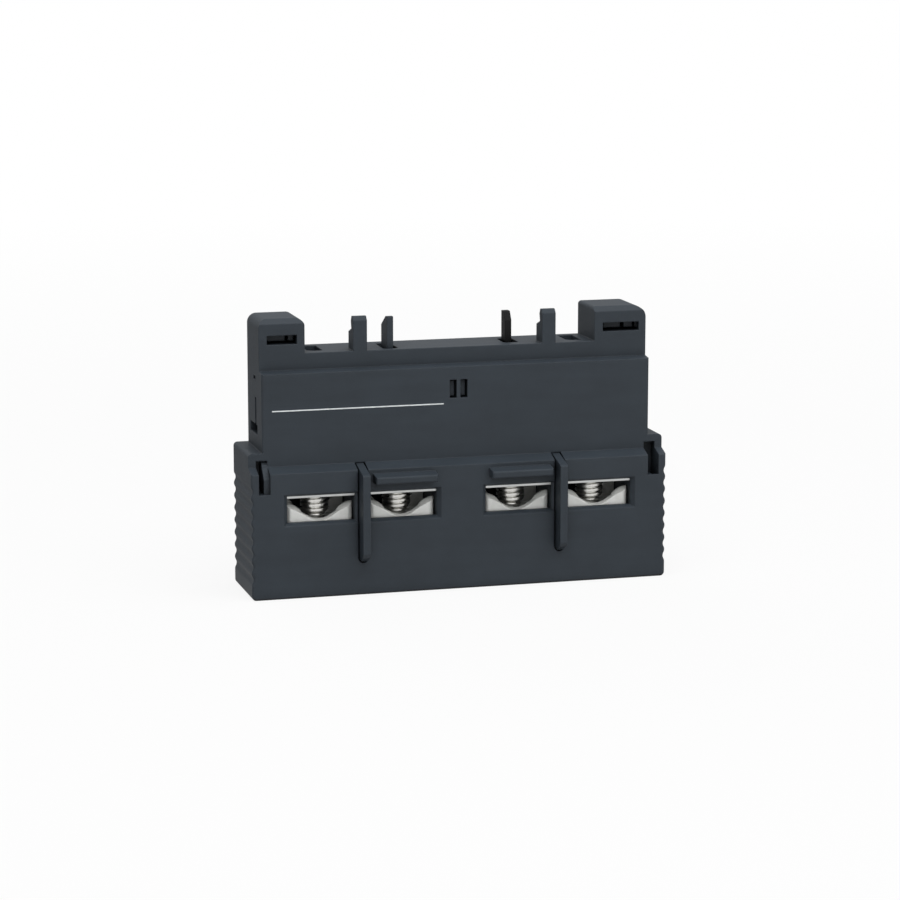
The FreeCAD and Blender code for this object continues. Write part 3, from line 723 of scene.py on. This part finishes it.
@dataclass
class ReturnSpring:
    """Compression spring of round wire with closed ends."""

    node: str
    joint: str
    anchor_at_back: bool
    wire_radius: float = 0.13 * MM
    active_turns: float = 3.5
    closed_turns: float = 0.9
    closed_rise: float = 2.04
    ring: int = 14
    steps_per_turn: int = 40

    def _centreline(self) -> list[Vector]:
        """Points along the wire, with the end turns lying close.

        Returns:
            The points in order.
        """
        low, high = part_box(self.node)
        centre = (low + high) / 2
        radius = (high.x - low.x) / 2 - self.wire_radius
        start, end = low.y + self.wire_radius, high.y - self.wire_radius
        turns = self.active_turns + 2 * self.closed_turns
        close = self.closed_rise * self.wire_radius * self.closed_turns
        count = int(turns * self.steps_per_turn)
        line = []
        for k in range(count + 1):
            turn = turns * k / count
            if turn < self.closed_turns:
                y = start + close * turn / self.closed_turns
            elif turn > turns - self.closed_turns:
                y = end - close * (turns - turn) / self.closed_turns
            else:
                share = (turn - self.closed_turns) / self.active_turns
                y = start + close + (end - start - 2 * close) * share
            angle = 2 * math.pi * turn
            line.append(Vector((centre.x + radius * math.cos(angle), y,
                                centre.z + radius * math.sin(angle))))
        return line

    def build(self, paint: Paintbox) -> bpy.types.Object:
        """Makes the spring in place of its CAD node and fixes it to the housing.

        Args:
            paint: Where the finish comes from.

        Returns:
            The finished piece.
        """
        line = self._centreline()
        low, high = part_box(self.node)
        middle = (low + high) / 2
        points = []
        for k, centre in enumerate(line):
            before, after = line[max(k - 1, 0)], line[min(k + 1, len(line) - 1)]
            forward = (after - before).normalized()
            outward = Vector((centre.x - middle.x, 0, centre.z - middle.z)).normalized()
            side = forward.cross(outward).normalized()
            outward = side.cross(forward)
            for c in range(self.ring):
                angle = 2 * math.pi * c / self.ring
                spoke = math.cos(angle) * outward + math.sin(angle) * side
                points.append(tuple(centre + self.wire_radius * spoke))
        spring = mesh_piece(self.node + "_coil", points, tube_faces(len(line), self.ring))
        paint.coat(spring, paint.finishes.wire)
        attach(spring, HOUSING_BODY)
        joint = next(j for j in frame["joints"] if j["name"] == self.joint)
        travel = max(abs(v) for v in joint["range_m"])
        length = high.y - low.y
        keep = (length - travel) / length
        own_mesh(spring)
        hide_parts(self.node)
        return spring


@dataclass
class LabelPrint:
    """The plain rule printed across the label face."""

    start_x: float = -19.7 * MM
    end_x: float = -1.6 * MM
    height_z: float = 19.34 * MM
    line_width: float = 0.12 * MM
    film: float = 0.012 * MM
    label_setback: float = 1.46 * MM
    rib_proud: float = 1.6 * MM

    def build(self, paint: Paintbox) -> bpy.types.Object:
        """Makes the printed rule on the label face.

        Args:
            paint: Where the ink comes from.

        Returns:
            The finished piece.
        """
        low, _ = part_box("front_housing")
        face_y = low.y + self.rib_proud + self.label_setback
        half = self.line_width / 2
        rule = box_piece("label_rule", (self.start_x, face_y - self.film, self.height_z - half),
                         (self.end_x, face_y + self.film, self.height_z + half))
        paint.coat(rule, paint.finishes.ink)
        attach(rule, HOUSING_BODY)
        return rule


class SubAssembly(ABC):
    """Pieces of the frame that keep their shape and only need a finish."""

    @abstractmethod
    def plan(self, finishes: Finishes) -> dict[str, Finish]:
        """Finish of each node."""

    def dress(self, paint: Paintbox) -> list[str]:
        """Puts the finishes on the nodes.

        Args:
            paint: Where the finishes come from.

        Returns:
            Names of the dressed nodes.
        """
        plan = self.plan(paint.finishes)
        for name, finish in plan.items():
            paint.coat(frame["nodes"][name], finish)
        return list(plan)


@dataclass
class HousingShells(SubAssembly):
    """The two moulded shells."""

    nodes: tuple[str, ...] = ("front_housing", "rear_cover")

    def plan(self, finishes: Finishes) -> dict[str, Finish]:
        """Grey plastic for both shells."""
        return {name: finishes.housing for name in self.nodes}


@dataclass
class ContactDeck(SubAssembly):
    """Carriers, bridges and contact tips."""

    bridges: tuple[str, ...] = ("bridge_left", "bridge_right")
    contacts: range = TERMINALS

    def plan(self, finishes: Finishes) -> dict[str, Finish]:
        """Plastic for the carriers, brass for the bridges and silver for the tips.

        Args:
            finishes: The finishes to draw on.

        Returns:
            The finish of each node.
        """
        plan = {"carrier_left": finishes.housing, "carrier_right": finishes.black}
        plan.update({name: finishes.brass for name in self.bridges})
        for k in self.contacts:
            plan["moving_tip_%d" % k] = finishes.silver
            plan["fixed_tip_%d" % k] = finishes.silver
        return plan


@dataclass
class TerminalMetal(SubAssembly):
    """Strips and clamps of the terminals."""

    terminals: range = TERMINALS

    def plan(self, finishes: Finishes) -> dict[str, Finish]:
        """Plating for strips and clamps.

        Args:
            finishes: The finishes to draw on.

        Returns:
            The finish of each node.
        """
        plan = {}
        for k in self.terminals:
            plan["terminal_strip_%d" % k] = finishes.strip
            plan["clamp_saddle_%d" % k] = finishes.clamp
        return plan


@dataclass(frozen=True)
class Softbox:
    """One rectangular lamp."""

    name: str
    place: Point
    target: Point
    size: tuple[float, float]
    watts: float
    mirrored: bool = True

    def build(self) -> None:
        """Adds the lamp, turned to its target."""
        data = bpy.data.lights.new(self.name, "AREA")
        data.shape = "RECTANGLE"
        data.size, data.size_y = self.size
        data.energy = self.watts
        lamp = bpy.data.objects.new(self.name, data)
        lamp.visible_glossy = self.mirrored
        lamp.location = self.place
        lamp.rotation_mode = "QUATERNION"
        way = Vector(self.target) - Vector(self.place)
        lamp.rotation_quaternion = way.to_track_quat("-Z", "Y")
        bpy.context.scene.collection.objects.link(lamp)


@dataclass
class Studio:
    """Camera, floor and soft light."""

    azimuth: float = -15.414
    elevation: float = 10.64
    distance: float = 317.5 * MM
    right: float = 1.28 * MM
    up: float = -14.411 * MM
    front_plane: float = -3.65 * MM
    lens: float = 122.0
    sensor: float = 36.0
    clip: tuple[float, float] = (0.01, 20.0)
    floor_half: float = 3.0
    floor_dark: float = 0.6
    floor_light: float = 0.64
    haze_size: float = 0.4
    ambient: float = 0.28
    zenith_mirror: float = 0.95
    front_mirror: float = 0.85
    back_mirror: float = 0.42
    floor_back_mirror: float = 0.25
    turn_band: float = 0.4
    zenith_band: tuple[float, float] = (0.25, 0.75)
    floor_turn: float = 0.03
    shadow_share: float = 0.13
    fade_start: float = 0.1
    fade_end: float = 0.35
    lamps: tuple[Softbox, ...] = field(default_factory=lambda: (
        Softbox("top_softbox", (0.05, -0.35, 0.78), (0.0, 0.0, 0.01), (1.4, 1.0), 12.8, False),
        Softbox("front_softbox", (0.25, -0.85, 0.45), (0.0, 0.0, 0.015), (0.7, 0.5), 0.7),
        Softbox("rear_softbox", (-0.2, 0.9, 0.35), (0.0, 0.0, 0.015), (0.8, 0.5), 2.6, False),
    ))

    def _camera(self) -> None:
        """Adds the camera at the view that the block is seen from."""
        a, e = math.radians(self.azimuth), math.radians(self.elevation)
        back = Vector((math.sin(a) * math.cos(e), -math.cos(a) * math.cos(e), math.sin(e)))
        right = (-back).cross(Vector((0, 0, 1))).normalized()
        up = right.cross(-back)
        front = Vector((0, self.front_plane, 0))
        place = back * self.distance - right * self.right - up * self.up + front
        data = bpy.data.cameras.new("camera")
        data.lens = self.lens
        data.sensor_width = self.sensor
        data.clip_start, data.clip_end = self.clip
        camera = bpy.data.objects.new("camera", data)
        turn = Matrix((right, up, back)).transposed()
        camera.matrix_world = Matrix.Translation(place) @ turn.to_4x4()
        bpy.context.scene.collection.objects.link(camera)
        bpy.context.scene.camera = camera

    def _world(self) -> None:
        """Even ambient light, white where it is seen and graded where it is mirrored."""
        world = bpy.data.worlds.new("studio")
        world.use_nodes = True
        graph = Graph(world.node_tree)
        way = graph.signal(graph.node("ShaderNodeTexCoord", {}, {}), "Generated")
        behind = graph.axis(way, "Y").between(-self.turn_band, self.turn_band)
        above = graph.axis(way, "Z").between(*self.zenith_band)
        horizon = self.front_mirror + (self.back_mirror - self.front_mirror) * behind
        sky = horizon + above * (self.zenith_mirror - horizon)
        seen = (graph.ray("Is Camera Ray") + graph.ray("Is Transmission Ray")).clamp()
        mirrored = graph.ray("Is Glossy Ray")
        level = self.ambient + (1.0 - self.ambient) * seen + (sky - self.ambient) * mirrored
        inputs = {"Color": (*grey(1.0), 1.0), "Strength": level}
        background = graph.node("ShaderNodeBackground", {}, inputs)
        graph.node("ShaderNodeOutputWorld", {}, {"Surface": graph.signal(background)})
        bpy.context.scene.world = world

    def _floor(self) -> None:
        """Pale floor that keeps the shadow and reads white."""
        h = self.floor_half
        corners = [(-h, -h, 0), (h, -h, 0), (h, h, 0), (-h, h, 0)]
        floor = mesh_piece("studio_floor", corners, [[0, 1, 2, 3]], smooth=False)
        shader = Shader("studio_floor")
        place = shader.place()
        haze = shader.noise(place, self.haze_size, 1.0, 0.5)
        pale = shader.mix(haze, grey(self.floor_dark), grey(self.floor_light))
        matt = shader.node("ShaderNodeBsdfDiffuse", {}, {"Color": pale})
        mirrored = shader.ray("Is Glossy Ray")
        seen = shader.ray("Is Camera Ray") + shader.ray("Is Transmission Ray")
        # reflections find a bright floor in front of the block and a dark one behind it
        behind = shader.axis(place, "Y").between(-self.floor_turn, self.floor_turn)
        tone = shader.mix(behind, grey(self.front_mirror), grey(self.floor_back_mirror))
        shown = shader.mix(mirrored, grey(1.0), tone)
        glow = shader.node("ShaderNodeEmission", {}, {"Color": shown})
        # the shadow is kept near the block, and the floor fades to plain white further out
        far = place.length().between(self.fade_start, self.fade_end)
        share = (1.0 - self.shadow_share) + self.shadow_share * far
        factor = (seen + mirrored).clamp() * share
        inputs = {0: factor, 1: shader.signal(matt), 2: shader.signal(glow)}
        floor.data.materials.append(shader.close(shader.node("ShaderNodeMixShader", {}, inputs)))

    def build(self) -> None:
        """Sets up the whole studio."""
        self._camera()
        self._world()
        self._floor()
        for lamp in self.lamps:
            lamp.build()
        bpy.context.scene.view_settings.view_transform = "Standard"


def main() -> None:
    """Builds every sub-assembly and reports each piece."""
    logging.basicConfig(level=logging.INFO, format="%(name)s: %(message)s")
    paint = Paintbox(Finishes())
    for group in (HousingShells(), ContactDeck(), TerminalMetal()):
        for name in group.dress(paint):
            LOG.info("dressed %s", name)
    screws = [TerminalScrew(number) for number in TERMINALS]
    springs = [ReturnSpring("spring_left", "left_contact_slide", anchor_at_back=True),
               ReturnSpring("spring_right", "right_contact_slide", anchor_at_back=False)]
    for piece in (*screws, *springs, LabelPrint()):
        LOG.info("built %s", piece.build(paint).name)
    Studio().build()


if __name__ == "__main__":
    main()
